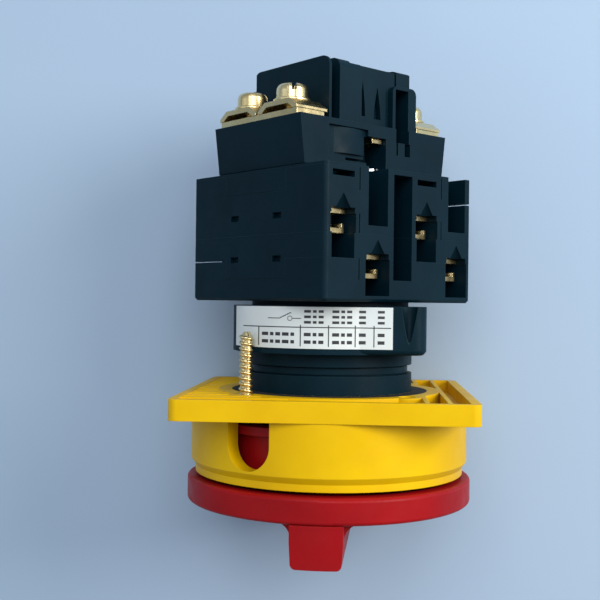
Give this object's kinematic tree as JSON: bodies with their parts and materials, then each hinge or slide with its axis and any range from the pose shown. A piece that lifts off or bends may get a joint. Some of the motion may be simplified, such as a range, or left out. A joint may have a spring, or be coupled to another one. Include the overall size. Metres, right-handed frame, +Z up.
{
  "type": "rotary isolator switch",
  "caption": "Panel-mounted rotary isolator: square front plate with a padlock ring and bar grip handle, round neck, cam-operated contact block set at 45 degrees and rear link terminals.",
  "frame": {"origin": "on the shaft axis, in the back plane of the front plate, where it meets the panel", "axes": "+Y along the shaft towards the rear terminals, handle on the -Y side, +Z up with the handle bar standing vertical in the on position, +X to the right seen from the front"},
  "size_m": [0.0674, 0.1112, 0.0674],
  "materials": {
    "yellow_plastic": "satin",
    "red_plastic": "satin",
    "black_plastic": "fine moulded texture",
    "cam_plastic": "smooth",
    "black_rubber": "matt",
    "label_white": "satin",
    "brass": "plated",
    "copper": "bright",
    "steel": "zinc plated",
    "spring_steel": "drawn"
  },
  "bodies": {
    "switch_body": {"front_plate": "yellow_plastic", "neck_sleeve": "black_plastic", "index_housing": "black_plastic", "adapter_plate": "black_plastic", "block_base": "black_plastic", "chamber_1": "black_plastic", "chamber_2": "black_plastic", "rear_cover": "black_plastic", "terminal_carrier": "black_plastic", "barrier_tower": "black_plastic", "panel_gasket": "black_rubber", "shaft_seal": "black_rubber", "nameplate": "label_white", "arrow_marks": "label_white", "plate_screws": "brass", "link_bar_left": "brass", "link_bar_right": "brass", "link_clamps": "brass", "link_screws": "brass", "link_nuts": "brass", "inner_contacts": "brass", "fixed_contacts_1": "brass", "fixed_contacts_2": "brass", "terminal_clamps_1": "brass", "terminal_clamps_2": "brass", "stop_pin": "steel", "tie_bolts": "steel", "terminal_screws_1": "steel", "terminal_screws_2": "steel", "plate_clip": "steel", "index_springs": "spring_steel", "contact_spring_1a": "spring_steel", "contact_spring_1b": "spring_steel", "contact_spring_2a": "spring_steel", "contact_spring_2b": "spring_steel"},
    "rotor": {"handle": "red_plastic", "locking_drum": "red_plastic", "handle_screw": "steel", "shaft": "steel", "index_cam": "cam_plastic", "stop_disc": "cam_plastic", "contact_cam_1": "cam_plastic", "contact_cam_2": "cam_plastic"},
    "contact_1a": {"bridge_1a": "copper", "plunger_1a": "cam_plastic"},
    "contact_1b": {"bridge_1b": "copper", "plunger_1b": "cam_plastic"},
    "contact_2a": {"bridge_2a": "copper", "plunger_2a": "cam_plastic"},
    "contact_2b": {"bridge_2b": "copper", "plunger_2b": "cam_plastic"}
  },
  "joints": [
    {"name": "handle_turn", "type": "hinge", "parent": "switch_body", "child": "rotor", "pos_m": [0, 0, 0], "axis": [0, -1, 0], "range_deg": [0, 90], "deforming": ["index_springs"]},
    {"name": "lift_1a", "type": "slide", "parent": "switch_body", "child": "contact_1a", "axis": [-0.7071, 0, 0.7071], "range_m": [0, 0.002], "deforming": ["contact_spring_1a"]},
    {"name": "lift_1b", "type": "slide", "parent": "switch_body", "child": "contact_1b", "axis": [0.7071, 0, -0.7071], "range_m": [0, 0.002], "deforming": ["contact_spring_1b"]},
    {"name": "lift_2a", "type": "slide", "parent": "switch_body", "child": "contact_2a", "axis": [-0.7071, 0, 0.7071], "range_m": [0, 0.002], "deforming": ["contact_spring_2a"]},
    {"name": "lift_2b", "type": "slide", "parent": "switch_body", "child": "contact_2b", "axis": [0.7071, 0, -0.7071], "range_m": [0, 0.002], "deforming": ["contact_spring_2b"]}
  ],
  "couplings": [
    {"joint": "lift_1a", "follows": "handle_turn", "m_per_rad": 0.00127},
    {"joint": "lift_1b", "follows": "handle_turn", "m_per_rad": 0.00127},
    {"joint": "lift_2a", "follows": "handle_turn", "m_per_rad": 0.00127},
    {"joint": "lift_2b", "follows": "handle_turn", "m_per_rad": 0.00127}
  ]
}
